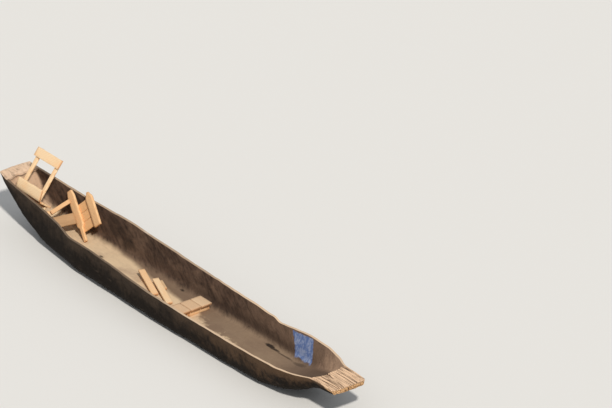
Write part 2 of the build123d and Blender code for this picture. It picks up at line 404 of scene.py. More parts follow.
@dataclass
class Skin:
    """A closed surface made of rings of points, with numbers kept at its points.

    Attributes:
        name: The piece's name.
        points: Places as rings by points by three.
        marks: A number for each point, by name.
        places: A vector for each point, by name.
    """

    name: str
    points: Numbers
    marks: dict[str, Numbers]
    places: dict[str, Numbers]

    def build(self) -> bpy.types.Object:
        """Make the mesh, with its rings joined and its two ends closed.

        Returns:
            The new object, at the frame's origin.
        """
        rings, around, _ = self.points.shape
        index = np.arange(rings * around).reshape(rings, around)
        after = np.roll(index, -1, axis=1)
        walls = np.stack([index[:-1], after[:-1], after[1:], index[1:]], axis=-1).reshape(-1, 4)
        faces = [*walls.tolist(), index[0][::-1].tolist(), index[-1].tolist()]
        mesh = bpy.data.meshes.new(self.name)
        mesh.from_pydata(self.points.reshape(-1, 3).tolist(), [], faces)
        for name, numbers in self.marks.items():
            made = mesh.attributes.new(name, "FLOAT", "POINT")
            made.data.foreach_set("value", numbers.astype(np.float32).ravel())
        for name, vectors in self.places.items():
            made = mesh.attributes.new(name, "FLOAT_VECTOR", "POINT")
            made.data.foreach_set("vector", vectors.astype(np.float32).ravel())
        mesh.validate()
        mesh.shade_smooth()
        made_object = bpy.data.objects.new(self.name, mesh)
        bpy.context.scene.collection.objects.link(made_object)
        return made_object


@dataclass(frozen=True)
class HollowNoise:
    """The noises that the hollow's walls and its floor share, from broad to fine."""

    clouds: Value
    mottle: Value
    blots: Value
    chips: Value


@dataclass(frozen=True)
class LogFinish:
    """Bare hewn log: weathered outside, dry and pale on the ends and the floor.

    Attributes:
        sheen: How strongly the wood mirrors.
        depth: How deep its grain is, in metres.
        panel_sides: The painted panel's left and right edge. Each is its lean along the canoe for
            each metre up, and the places where the paint starts to show and shows in full.
        panel_ends: The same for its top and its foot, by height for each metre along.
        faults: The knots and stains, each as its middle, its half sizes and its strength.
        chalk_middle: The middle of the chalky patch on the far rim.
    """

    # The outer walls: high up and low down, both darkened in part as painted shade, dried mud, and the
    # browner near end.
    grey: Rgb = (72, 59, 48)
    outside_dark: Rgb = (28, 22, 17)
    dust: Rgb = (104, 88, 74)
    tan: Rgb = (100, 76, 55)
    # The hollow: its walls, with the pale colour of painted light on their near end, and its floor, with
    # the colour of its painted shade.
    wall: Rgb = (107, 86, 73)
    wall_dark: Rgb = (54, 43, 37)
    wall_pale: Rgb = (146, 120, 100)
    wall_end: Rgb = (188, 156, 130)
    floor: Rgb = (222, 196, 162)
    floor_grey: Rgb = (190, 165, 138)
    floor_painted_shade: Rgb = (116, 95, 79)
    # The squared ends and their drying checks.
    straw: Rgb = (234, 198, 164)
    straw_pink: Rgb = (224, 194, 166)
    straw_orange: Rgb = (230, 182, 130)
    check: Rgb = (84, 58, 42)
    # The worn rims, the stains and the panel.
    edge: Rgb = (226, 198, 168)
    chalk: Rgb = (226, 214, 200)
    stain: Rgb = (46, 38, 33)
    blue: Rgb = (98, 120, 170)
    blue_worn: Rgb = (160, 172, 200)
    sheen: float = 0.12
    depth: float = 0.006
    panel_sides: tuple[Triple, Triple] = ((0.567, 1.802, 1.822), (0.393, 2.121, 2.101))
    panel_ends: tuple[Triple, Triple] = ((0.095, 0.212, 0.198), (0.074, -0.014, 0.006))
    faults: tuple[tuple[Triple, Triple, float], ...] = (
        ((-1.47, 0.305, 0.33), (0.22, 0.3, 0.13), 0.42),
        ((-1.27, 0.305, 0.20), (0.15, 0.3, 0.10), 0.5),
        ((-0.241, 0.269, 0.085), (0.050, 0.024, 0.05), 0.95),
        ((1.33, 0.245, 0.088), (0.13, 0.026, 0.05), 0.95),
        ((1.45, 0.235, 0.090), (0.10, 0.022, 0.05), 0.85),
        ((1.64, 0.220, 0.095), (0.20, 0.016, 0.05), 0.6),
        ((1.92, 0.205, 0.110), (0.22, 0.040, 0.06), 0.45),
        ((-1.395, 0.05, 0.085), (0.04, 0.018, 0.05), 0.75),
    )
    chalk_middle: Triple = (-1.0, 0.375, 0.40)

    def outside(self, wood: Shader, place: Place) -> Paint:
        """Colour the outer walls, partly darkened as painted shade, darker low and browner by the near end.

        Args:
            wood: The log's shader.
            place: Where the surface is.

        Returns:
            The outer walls' colour.
        """
        x, _, _ = place.parts()
        clouds = wood.noise(place * (3.2, 4, 6), 6, 0.62, 0.4)
        fine = wood.noise(place * (24, 18, 12), 5, 0.62)
        height = wood.mark("height") + clouds.swing(1.3) + fine.swing(0.9)
        brown = (x + clouds.swing(1.4)).rise(0.2, 2.2) * height.rise(0.3, 0.9)
        mud = wood.noise(place * (9, 14, 26), 6, 0.7).rise(0.56, 0.76)
        # Dark weathered wood, darkened further as painted shade, and darker towards the bottom.
        return wood.mix(height.rise(0.42, 1.25), self.outside_dark, self.grey).layers(
            (self.tan, brown * 0.7),
            (self.outside_dark, fine.rise(0.54, 0.74) * 0.5),
            (self.dust, mud * 0.35),
        )

    def walls(self, wood: Shader, place: Place, noise: HollowNoise) -> Paint:
        """Colour the hollow's walls: brown, painted shade at their foot and painted light by the near end.

        Args:
            wood: The log's shader.
            place: Where the surface is.
            noise: The hollow's noises.

        Returns:
            The walls' colour.
        """
        x, _, z = place.parts()
        pale = (x + noise.mottle.swing(1.4)).rise(0.1, 2.0)
        # Painted light: the walls' near end is painted pale, as if lit.
        painted_light_end = (x + noise.mottle.swing(0.8)).rise(2.1, 2.6)
        # Painted shade: a dark band along the walls' foot, where they meet the floor.
        foot = (z + noise.mottle.swing(0.12)).rise(0.29, 0.15) * x.rise(-0.4, 0.3) * x.rise(2.3, 1.9)
        mottled = (noise.mottle * 0.55 + noise.blots * 0.45).rise(0.32, 0.68)
        return wood.mix(mottled, self.wall_dark, self.wall).layers(
            (self.wall_pale, noise.clouds.rise(0.50, 0.74).most(pale) * 0.6),
            (self.wall_end, painted_light_end * 0.85),
            (self.wall_dark, foot * 0.6),
            (self.wall_dark, noise.chips.rise(0.52, 0.72) * 0.38),
        )

    def ground(self, wood: Shader, place: Place, noise: HollowNoise) -> Paint:
        """Colour the floor: dry, with painted shadow by the far wall and painted shade by the near end.

        Args:
            wood: The log's shader.
            place: Where the surface is.
            noise: The hollow's noises.

        Returns:
            The floor's colour.
        """
        x, y, _ = place.parts()
        grain = wood.noise(place * (4, 26, 26), 5, 0.62, 0.3)
        drift = noise.clouds.swing(0.5) + noise.mottle.swing(0.2)
        # The painted shadow's edge is straight by the far end and breaks up towards the near one.
        loose = x.rise(-0.2, 0.9)
        shift = drift * 0.12 + loose * (noise.clouds * 0.5 + noise.blots * 0.3 - 0.38)
        painted_shade = (y + x * 0.115 + shift).rise(0.07, 0.15) * x.rise(-1.75, -1.35)
        near = x + drift
        # The slope up to the far end is dark in patches at its foot and pale above.
        slope = (x + drift * 0.3).rise(-2.35, -2.52)
        pale = (noise.mottle * 0.5 + noise.blots * 0.5 - x * 0.5).rise(1.62, 1.82)
        return wood.mix(noise.clouds.rise(0.42, 0.72), self.floor, self.floor_grey).layers(
            (self.floor_grey, grain.rise(0.48, 0.78) * 0.4),
            # Painted shadow, as the far wall would cast it on the floor.
            (self.floor_painted_shade, painted_shade * (0.92 - loose * noise.mottle * 0.2)),
            # Painted shade: the floor is darkened towards the near end.
            (self.wall, near.rise(1.5, 2.2) * 0.6),
            (self.wall_dark, near.rise(1.7, 2.3) * 0.32),
            (self.wall, noise.chips.rise(0.6, 0.8) * 0.3),
            (wood.mix(pale, self.wall_dark, self.wall_end), slope * 0.85),
        )

    def inside(self, wood: Shader, place: Place) -> Paint:
        """Colour the hollow.

        Args:
            wood: The log's shader.
            place: Where the surface is.

        Returns:
            The hollow's colour.
        """
        _, _, z = place.parts()
        slant = place + wood.vector("ShaderNodeCombineXYZ", {}, {"X": z * 0.9})
        noise = HollowNoise(
            clouds=wood.noise(place * (2.6, 4, 4), 5, 0.6),
            mottle=wood.noise(slant * (8, 7, 5), 7, 0.7, 1.2),
            blots=wood.noise(slant * (15, 12, 10), 6, 0.66, 0.9),
            chips=wood.noise(slant * (44, 40, 34), 4, 0.62),
        )
        low = (wood.mark("floor") + noise.mottle.swing(0.6)).rise(0.35, 0.9)
        return self.walls(wood, place, noise).under(self.ground(wood, place, noise), low)

    def end(self, wood: Shader, place: Place, checks: Value) -> Paint:
        """Colour the squared ends: pale dry wood that has split along its grain.

        Args:
            wood: The log's shader.
            place: Where the surface is.
            checks: Where it has split, from 0 to 1.

        Returns:
            The ends' colour.
        """
        x, _, z = place.parts()
        grain = wood.noise(place * (2.5, 70, 40), 5, 0.6)
        clouds = wood.noise(place * (4, 8, 8), 3)
        below = z.rise(0.416, 0.396) * x.rise(2.5, 2.7)
        return wood.mix(x.rise(-1, 1), self.straw_pink, self.straw).layers(
            (self.straw_orange, grain.rise(0.5, 0.8) * 0.35),
            (self.straw_orange, below * 0.9),
            (self.floor_grey, clouds.rise(0.55, 0.85) * 0.35),
            (self.check, checks),
        )

    def checks(self, wood: Shader, place: Place) -> Value:
        """Mark the drying checks: dark ones on the near end and finer ones on the far end.

        Args:
            wood: The log's shader.
            place: Where the surface is.

        Returns:
            1 in a check and 0 off it.
        """
        x, _, _ = place.parts()
        drift = wood.vector("ShaderNodeTexNoise", {}, {"Vector": place * (5, 5, 5), "Scale": 1.0}, "Color")
        warp = place + drift * (0.0, 0.022, 0.0)
        breaks = wood.noise(place * (5, 14, 4) + (0.0, 3.1, 0.0), 2)
        wide = wood.cracks(warp * (0.8, 30, 30), 0.062) * breaks.rise(0.42, 0.50)
        thin = wood.cracks(warp * (1.1, 62, 62), 0.085) * breaks.rise(0.62, 0.46)
        near = wide.most(thin * 0.6) * x.rise(-1, 1)
        far = thin * x.rise(1, -1) * 0.5
        return near.most(far) * wood.mark("deck").rise(0.3, 0.9)

    def panel(self, wood: Shader, place: Place) -> Value:
        """Mark the blank painted panel on the far wall, with rough edges.

        Args:
            wood: The log's shader.
            place: Where the surface is.

        Returns:
            1 on the panel and 0 off it.
        """
        x, y, z = place.parts()
        rough = wood.noise(place * (18, 18, 18), 4).swing(0.05)
        left, right = ((x + z * lean + rough).rise(low, high) for lean, low, high in self.panel_sides)
        top, foot = ((z - x * lean + rough).rise(low, high) for lean, low, high in self.panel_ends)
        return left * right * top * foot * y.rise(0.1, 0.12) * wood.mark("inner").rise(0.6, 0.9)

    def spots(self, wood: Shader, place: Place) -> tuple[Value, Value]:
        """Gather the knots and stains of the hollow.

        Args:
            wood: The log's shader.
            place: Where the surface is.

        Returns:
            How dark they are, and the rings that they are cut into.
        """
        bend = wood.noise(place * (9, 9, 9), 4)
        spots, rings = [], []
        for middle, size, strength in self.faults:
            away = ((place - middle) * tuple(1 / part for part in size)).length()
            spots.append((away + bend.swing(1.6)).rise(1.0, 0.35) * strength)
            rings.append((away * 16 + bend * 9).sine().rise(0.1, 0.9) * spots[-1])
        return reduce(Value.most, spots), reduce(Value.most, rings)

    def rims(self, wood: Shader, place: Place, colour: Paint, clouds: Value) -> Paint:
        """Wear the rims pale, most on the near half, and chalk a patch of the far one.

        Args:
            wood: The log's shader.
            place: Where the surface is.
            colour: The log's colour so far.
            clouds: The noise that breaks up the wear.

        Returns:
            The colour with its rims.
        """
        x, y, _ = place.parts()
        rim = wood.mark("rim")
        worn = (rim + clouds.swing(0.6)).rise(0.4, 0.9)
        bare = x.rise(-0.5, 0.8).most(y.rise(-0.1, 0.1) * 0.5)
        chalk = ((place - self.chalk_middle) * (9, 12, 12)).length().rise(1, 0.4) * rim
        return colour.under(self.edge, worn * (bare * 0.72 + 0.16)).under(self.chalk, chalk)

    def make(self) -> bpy.types.Material:
        """Make the log's material.

        Returns:
            The material.
        """
        wood = Shader("hewn_log")
        place = wood.place()
        inner, deck = wood.mark("inner"), wood.mark("deck")
        clouds = wood.noise(place * (7, 7, 7), 4)
        checks = self.checks(wood, place)
        spots, rings = self.spots(wood, place)
        panel = self.panel(wood, place)
        scuff = wood.noise(place * (24, 24, 16), 6, 0.72, 0.6)
        paint = wood.mix(scuff.rise(0.44, 0.62) * 0.8, self.blue, self.blue_worn)
        pale = (deck + clouds.swing(0.5)).rise(0.35, 0.65)
        colour = self.outside(wood, place).under(self.inside(wood, place), inner.rise(0.3, 0.7)).layers(
            (self.stain, spots * inner),
            (paint, panel * (1 - scuff.rise(0.62, 0.8) * 0.5)),
        )
        colour = self.rims(wood, place, colour, clouds)
        colour = colour.under(self.end(wood, place, checks), pale)
        streaks = wood.noise(place * (24, 22, 17), 5, 0.62, 0.6)
        grain = wood.noise(place * (4, 120, 120), 4, 0.6)
        flat = wood.mark("floor").most(deck)
        relief = streaks * (1 - flat) * 0.55 + grain * (flat * 0.25 + 0.15) + clouds * 0.2
        relief = relief - checks * 0.7 - rings * 0.25
        roughness = 0.82 - panel * 0.2 + clouds.swing(0.15)
        wood.feed(wood.surface.inputs["Specular IOR Level"], self.sheen)
        return wood.finish(colour, roughness, relief, self.depth)


@dataclass(frozen=True)
class PlankFinish:
    """Fresh sawn planks, pale orange with growth rings, knots and greyed faces.

    Attributes:
        heart: How far the tree's heart lies from a plank's middle, in metres.
        ring_rate: Growth rings, in radians for each metre.
        depth: How deep the grain is, in metres.
    """

    pale: Rgb = (250, 224, 184)
    warm: Rgb = (244, 192, 136)
    ring: Rgb = (206, 150, 98)
    end: Rgb = (206, 146, 94)
    knot: Rgb = (120, 74, 48)
    grey: Rgb = (184, 160, 138)
    # The colour of the painted shade on planks that stand in shade.
    painted_shade: Rgb = (122, 92, 62)
    heart: float = 0.11
    ring_rate: float = 520.0
    depth: float = 0.0012

    def make(self) -> bpy.types.Material:
        """Make the planks' material.

        Returns:
            The material.
        """
        wood = Shader("fresh_plank")
        board, face = wood.kept_place("board"), wood.mark("face")
        drift = wood.noise(board * (2.2, 5, 5), 3)
        heart = ((board + (0, 0, self.heart)) * (0.16, 1, 1)).length()
        ring = ((heart + drift.swing(0.05)) * self.ring_rate).sine().rise(-0.2, 0.95)
        fibre = wood.noise(board * (9, 260, 260), 4, 0.6)
        clouds = wood.noise(board * (5, 16, 16), 4)
        cells = {"Vector": board * (1.9, 7.0, 0.4), "Scale": 1.0}
        knots = wood.node("ShaderNodeTexVoronoi", {}, cells, "Distance")
        knot = (knots + drift.swing(0.08)).rise(0.10, 0.05) * face
        colour = wood.mix(wood.mark("tone"), self.pale, self.warm).layers(
            (self.ring, ring * 0.42),
            (self.warm, clouds.rise(0.45, 0.75) * 0.5),
            (self.ring, fibre.rise(0.48, 0.78) * 0.35),
            (self.end, wood.mark("end") * 0.75),
            (self.grey, wood.mark("age") * (clouds * 0.6 + 0.35)),
            # Painted shade, on the broad faces only, so the thin edges stay bright.
            (self.painted_shade, wood.mark("painted_shade") * face * (clouds * 0.5 + 0.6)),
            (self.knot, knot * 0.85),
        )
        relief = ring * 0.25 + fibre * 0.5 + clouds * 0.15 - knot * 0.2
        return wood.finish(colour, 0.62 + fibre * 0.2, relief, self.depth)


@dataclass(frozen=True)
class GroundFinish:
    """The plain pale floor under the canoe, which is no part of it."""

    colour: Rgb = (228, 227, 224)
    roughness: float = 0.9

    def make(self) -> bpy.types.Material:
        """Make the floor's material.

        Returns:
            The material.
        """
        plain = Shader("plain_floor")
        plain.feed(plain.surface.inputs["Base Color"], linear(self.colour))
        plain.feed(plain.surface.inputs["Roughness"], self.roughness)
        return plain.material


class Section(NamedTuple):
    """Half a cross section's sizes in metres, for each ring.

    Attributes:
        rim: Half breadth at the plain gunwale.
        corner: Half breadth where the flat meets the wall.
        low: Height of the flat.
        radius: The corner's radius.
    """

    rim: Numbers
    corner: Numbers
    low: Numbers
    radius: Numbers


@dataclass(frozen=True)
class LogForm:
    """The canoe's one log, with the sizes of its solid, in metres.

    Attributes:
        wall_spread: How much narrower the hollow is at its floor than the bottom outside.
        slope: How long the slope from the floor up to each deck is.
        scoop: The hollow's depth where it meets a deck, with a spread and a radius of its own.
        blend: How far the bends between stations are smoothed, as lip_blend is at the decks.
        calm: How far from the decks the gunwales' waves grow in.
        stations: Place in metres, two breadths as shares of the widest, and in metres the
            bottom's rise, the bilge's radius and the gunwale's rise over the depth.
        far_rim: The far gunwale's lift over the plain one by place, as near_rim is the near one's.
    """

    near_tip: float = 3.1002
    far_tip: float = -2.8998
    half_beam: float = 0.400
    half_bottom: float = 0.335
    depth: float = 0.370
    rim_thickness: float = 0.028
    floor_thickness: float = 0.085
    wall_spread: float = 0.020
    hollow_radius: float = 0.095
    far_deck: float = 0.180
    near_deck: float = 0.400
    slope: float = 0.170
    scoop: float = 0.045
    scoop_spread: float = 0.007
    scoop_radius: float = 0.030
    rim_round: float = 0.005
    blend: float = 0.075
    lip_blend: float = 0.035
    calm: float = 0.2
    stations: tuple[tuple[float, float, float, float, float, float], ...] = (
        (-2.8998, 0.475, 0.510, 0.5163, 0.014, 0.1803),
        (-2.7406, 0.575, 0.570, 0.360, 0.130, 0.182),
        (-2.4492, 0.610, 0.600, 0.140, 0.130, 0.158),
        (-2.0461, 0.670, 0.740, 0.026, 0.130, 0.112),
        (-1.3951, 0.880, 0.940, 0.000, 0.130, 0.070),
        (0.0000, 0.965, 1.000, 0.000, 0.130, 0.002),
        (1.2401, 0.918, 0.980, 0.000, 0.130, -0.014),
        (1.8601, 1.000, 0.900, 0.016, 0.130, 0.033),
        (2.2321, 0.975, 0.800, 0.080, 0.130, 0.037),
        (2.5112, 0.820, 0.680, 0.180, 0.130, 0.038),
        (2.6910, 0.600, 0.560, 0.275, 0.130, 0.052),
        (3.1002, 0.5625, 0.6045, 0.3607, 0.014, 0.0527),
    )
    far_rim: tuple[tuple[float, float], ...] = (
        (-2.90, 0.028), (-2.72, 0.0), (-2.05, 0.034), (-1.40, 0.034), (0.0, 0.034),
        (1.24, 0.034), (1.285, 0.034), (1.375, -0.008), (1.86, 0.0), (3.10, 0.0),
    )
    near_rim: tuple[tuple[float, float], ...] = (
        (-2.90, 0.028), (-2.72, 0.0), (-1.72, 0.0), (-1.50, -0.040), (-1.06, 0.0), (3.10, 0.0),
    )

    @property
    def far_edge(self) -> float:
        """Where the far deck meets the hollow."""
        return self.far_tip + self.far_deck

    @property
    def near_edge(self) -> float:
        """Where the near deck meets the hollow."""
        return self.near_tip - self.near_deck

    def column(self, number: int, x: Numbers, reach: Numbers) -> Numbers:
        """Read a column of the stations with its bends smoothed.

        Args:
            number: The column.
            x: Places along the canoe.
            reach: How far each bend is smoothed, at each place.

        Returns:
            The column's values.
        """
        places = [row[0] for row in self.stations]
        values = [row[number] for row in self.stations]
        spread = np.linspace(-1, 1, 9)
        return np.mean([np.interp(x + reach * step, places, values) for step in spread], axis=0)

    def sheer(self, x: Numbers) -> Numbers:
        """Read the plain gunwale's height, which is level along the decks.

        Args:
            x: Places along the canoe.

        Returns:
            The height at each.
        """
        held = np.clip(x, self.far_edge, self.near_edge)
        room = np.minimum(held - self.far_edge, self.near_edge - held)
        return self.depth + self.column(5, held, np.minimum(2 * self.blend, room))

    def rim_height(self, x: Numbers, side: Side) -> Numbers:
        """Read one gunwale's height, with its steps and its hand-cut waves.

        Args:
            x: Places along the canoe.
            side: Which gunwale.

        Returns:
            The height at each.
        """
        table = np.array(self.far_rim if side is Side.FAR else self.near_rim)
        steps = np.linspace(-0.03, 0.03, 7)
        lift = np.mean([np.interp(x + step, table[:, 0], table[:, 1]) for step in steps], axis=0)
        seed = side.value
        waves = layered((Ripple(7 + seed, 0.31, 1, 0.0050), Ripple(17 + seed, 0.09, 1, 0.0022)), x)
        far_part = ease(x, self.far_edge, self.far_edge + self.calm)
        near_part = ease(-x, -self.near_edge, self.calm - self.near_edge)
        return self.sheer(x) + lift + (waves - 0.003) * (far_part * near_part)

    def outer(self, x: Numbers) -> Section:
        """Read the outside's sections.

        Args:
            x: Places along the canoe.

        Returns:
            Their sizes.
        """
        reach = np.clip(np.minimum(x - self.far_tip, self.near_tip - x), 0, self.blend)
        breadth, corner, rise, radius = (self.column(number, x, reach) for number in (1, 2, 3, 4))
        return Section(breadth * self.half_beam, corner * self.half_bottom, rise, radius)

    def inner(self, x: Numbers) -> Section:
        """Read the hollow's sections, with the bends by the decks smoothed.

        Args:
            x: Places along the canoe.

        Returns:
            Their sizes.
        """
        reach = np.clip(np.minimum(x - self.far_edge, self.near_edge - x), 0, self.lip_blend)
        steps = np.linspace(-1, 1, 7)
        return Section(*sum(np.stack(self._inner_at(x + reach * step)) / len(steps) for step in steps))

    def _inner_at(self, x: Numbers) -> Section:
        """Read the hollow's sections as the solid has them.

        Args:
            x: Places along the canoe.

        Returns:
            Their sizes.
        """
        held = np.clip(x, self.far_edge + self.slope, self.near_edge - self.slope)
        rim, corner, low, _ = self.outer(held)
        low = low + self.floor_thickness
        deep = (rim - self.rim_thickness, corner - self.wall_spread, low, self.hollow_radius)
        edge = np.where(x < 0, self.far_edge, self.near_edge)
        edge_rim = self.outer(edge).rim - self.rim_thickness
        shallow = (edge_rim, edge_rim - self.scoop_spread, self.sheer(edge) - self.scoop, self.scoop_radius)
        share = np.clip(np.abs(x - held) / self.slope, 0, 1)
        return Section(*(start + (end - start) * share for start, end in zip(deep, shallow)))

    @staticmethod
    def corner_arc(half: Numbers, low: Numbers, flare: Numbers, radius: Numbers, count: int) -> Numbers:
        """Round the corner between a flat bottom and a flared wall.

        Args:
            half: Half breadth at the corner, for each section.
            low: Height of the flat.
            flare: How far the wall goes out for each metre up.
            radius: The corner's radius.
            count: Points on the arc.

        Returns:
            Points as sections by count by two, from the flat up.
        """
        lean = np.arctan(flare)
        flat = half - radius / np.tan((np.pi / 2 + lean) / 2)
        share = np.linspace(0, 1, count)
        angle = -np.pi / 2 + share[None, :] * (np.pi / 2 - lean)[:, None]
        across = flat[:, None] + radius[:, None] * np.cos(angle)
        up = (low + radius)[:, None] + radius[:, None] * np.sin(angle)
        return np.stack([across, up], axis=-1)

    @staticmethod
    def run(start: Numbers, end: Numbers, count: int) -> Numbers:
        """Return evenly spaced points between two in each section, without those two."""
        share = np.linspace(0, 1, count + 2)[1:-1]
        return start[:, None, :] + (end - start)[:, None, :] * share[None, :, None]


@dataclass(frozen=True)
class Hull:
    """The log itself: rings of points round its outside, its rims and its hollow.

    Attributes:
        form: The log's sizes.
        finish: Its wood.
        fine_reach: How far from the decks' edges the rings are closer.
        least_pitch: How close two rings may be, but for the pair at each deck's edge.
        chamfer: How far the tips' edges are eased, in metres.
        lip_gap: How far the pair at a deck's edge is from it, in metres.
        lip_room: How near no other ring may be.
        fray_reach: How far from a deck's edge its raggedness dies out.
        bow_half: Half the breadth over which a deck's edge bows.
        tip_reach: How far from a tip its wear begins.
        tip_half: A tip's half breadth and half height.
        notch_depth: How deep its notches are.
        corner_loss: What its corners have lost, as tip_loss is what all of it has.
        tip_calm: The share of the tool marks that a tip keeps.
        sharp: The angle in degrees from which an edge shows as sharp.
        tools: Broad and fine tool marks of the outside, the hollow's walls and the flats.
    """

    form: LogForm
    finish: LogFinish
    bottom_points: int = 7
    bilge_points: int = 9
    wall_points: int = 13
    round_points: int = 4
    hollow_points: int = 13
    cove_points: int = 9
    floor_points: int = 16
    coarse_rings: int = 400
    fine_pitch: float = 0.007
    fine_reach: float = 0.2
    least_pitch: float = 0.0045
    chamfer: float = 0.006
    lip_gap: float = 0.0004
    lip_room: float = 0.004
    fray_reach: float = 0.05
    bow_half: float = 0.22
    tip_reach: float = 0.09
    tip_half: tuple[float, float] = (0.2, 0.04)
    notch_depth: float = 0.014
    corner_loss: float = 0.016
    tip_loss: float = 0.006
    tip_calm: float = 0.15
    sharp: float = 42.0
    tools: tuple[tuple[Ripple, Ripple], ...] = (
        (Ripple(51, 0.21, 0.11, 0.0045), Ripple(52, 0.085, 0.070, 0.0013)),
        (Ripple(53, 0.17, 0.12, 0.0040), Ripple(54, 0.075, 0.060, 0.0013)),
        (Ripple(55, 0.16, 0.07, 0.0022), Ripple(56, 0.05, 0.024, 0.0007)),
    )

    def places(self) -> Numbers:
        """Choose the places of the rings along the canoe, closer at the tips and the decks.

        Returns:
            The places, in order.
        """
        form = self.form
        lips = (form.far_edge, form.near_edge)
        coarse = np.linspace(form.far_tip + 0.03, form.near_tip - 0.03, self.coarse_rings)
        past = np.arange(-0.06, self.fine_reach, self.fine_pitch)
        fine = [edge + step for edge in lips for step in past]
        fine += [form.near_edge - step for step in np.arange(0.0, self.fine_reach, self.fine_pitch)]
        steps = (0.0, self.chamfer, 0.012, 0.02)
        tips = [tip + way * step for tip, way in ((form.far_tip, 1), (form.near_tip, -1)) for step in steps]
        every = np.unique(np.round(np.concatenate([coarse, fine, tips]), 4))
        keep = [every[0]]
        for x in every[1:]:
            if x - keep[-1] > self.least_pitch:
                keep.append(x)
        clear = [x for x in keep if min(abs(x - edge) for edge in lips) > self.lip_room]
        pairs = [edge + step for edge in lips for step in (-self.lip_gap, self.lip_gap)]
        return np.array(sorted([*clear, *pairs]))

    def wall(
        self, x: Numbers, rim_z: Numbers, section: Section, count: int
    ) -> tuple[Numbers, Numbers, Numbers]:
        """Lay the corner under a flared wall, and find where the wall meets its rim.

        Args:
            x: Places along the canoe.
            rim_z: The gunwale's height at each.
            section: The wall's sizes at each.
            count: Points on the corner.

        Returns:
            The corner's points from the flat up, the rim's edge, and where its rounding starts.
        """
        form = self.form
        flare = (section.rim - section.corner) / (form.sheer(x) - section.low)
        corner = form.corner_arc(section.corner, section.low, flare, section.radius, count)
        edge = np.stack([section.corner + flare * (rim_z - section.low), rim_z], axis=-1)
        below = np.stack([flare * form.rim_round, np.full_like(x, form.rim_round)], axis=-1)
        return corner, edge, edge - below

    def half_ring(self, x: Numbers, side: Side) -> Numbers:
        """Lay one side's points, from the bottom's middle round the rim to the floor's.

        Args:
            x: Places along the canoe.
            side: Which side.

        Returns:
            Breadth and height as sections by points by two.
        """
        form = self.form
        rim_z = form.rim_height(x, side)
        outer, inner = form.outer(x), form.inner(x)
        inward = np.array([form.rim_round, 0.0])
        bilge, edge, start = self.wall(x, rim_z, outer, self.bilge_points)
        keel = np.stack([np.zeros_like(x), outer.low], axis=-1)
        bottom = form.run(keel, bilge[:, 0], self.bottom_points - 1)
        outer_wall = form.run(bilge[:, -1], start, self.wall_points)
        outer_round = self.bend(start, edge, edge - inward)
        cove, edge, start = self.wall(x, rim_z, inner, self.cove_points)
        inner_round = self.bend(edge + inward, edge, start)
        inner_wall = form.run(start, cove[:, -1], self.hollow_points)
        middle = np.stack([np.zeros_like(x), inner.low], axis=-1)
        floor = form.run(cove[:, 0], middle, self.floor_points)
        hollow = np.concatenate([inner_round, inner_wall, cove[:, ::-1], floor, middle[:, None, :]], axis=1)
        hollow = self.deck_over(x, rim_z, outer.rim, hollow)
        return np.concatenate([keel[:, None, :], bottom, bilge, outer_wall, outer_round, hollow], axis=1)

    def deck_over(self, x: Numbers, rim_z: Numbers, rim: Numbers, hollow: Numbers) -> Numbers:
        """Lay the hollow's points flat where the log has a deck.

        Args:
            x: Places along the canoe.
            rim_z: The gunwale's height at each.
            rim: Its half breadth at each.
            hollow: The hollow's points, as if it went on to the tips.

        Returns:
            The points with both decks.
        """
        form = self.form
        edge = np.where(x < 0, form.far_edge, form.near_edge)
        far_lip = np.argmin(np.abs(x - form.far_edge - self.lip_gap))
        near_lip = np.argmin(np.abs(x - form.near_edge + self.lip_gap))
        share = hollow[np.where(x < 0, far_lip, near_lip), :, 0] / form.outer(edge).rim[:, None]
        level = np.repeat(rim_z[:, None], share.shape[1], axis=1)
        deck = np.stack([share * rim[:, None], level], axis=-1)
        on_deck = (x < form.far_edge) | (x > form.near_edge)
        return np.where(on_deck[:, None, None], deck, hollow)

    def bend(self, start: Numbers, corner: Numbers, end: Numbers) -> Numbers:
        """Round a corner.

        Args:
            start: Where the curve starts in each section.
            corner: The sharp corner.
            end: Where it ends.

        Returns:
            Points as sections by points by two.
        """
        share = np.linspace(0, 1, self.round_points)[None, :, None]
        start, corner, end = start[:, None, :], corner[:, None, :], end[:, None, :]
        return start * (1 - share) ** 2 + corner * 2 * share * (1 - share) + end * share**2

    def kinds(self) -> dict[str, Numbers]:
        """Say what each point of a half ring is on.

        Returns:
            For each point: 1 on the hollow, 1 on the rim, 1 on the floor, and its height on
            the outside from 0 at the bottom to 1 at the rim.
        """
        outside = self.bottom_points + self.bilge_points + self.wall_points
        rim = 2 * self.round_points
        hollow = self.hollow_points + self.cove_points + self.floor_points + 1
        inner = np.concatenate([np.zeros(outside), np.linspace(0, 1, rim), np.ones(hollow)])
        rims = np.concatenate([np.zeros(outside + 1), np.ones(rim - 2), np.zeros(hollow + 1)])
        floor = np.concatenate([
            np.zeros(outside + rim + self.hollow_points),
            np.linspace(0, 1, self.cove_points) ** 0.7,
            np.ones(self.floor_points + 1),
        ])
        height = np.concatenate([
            np.zeros(self.bottom_points),
            np.linspace(0, 0.35, self.bilge_points),
            np.linspace(0.38, 1, self.wall_points),
            np.ones(rim + hollow),
        ])
        return {"inner": inner, "rim": rims, "floor": floor, "height": height}

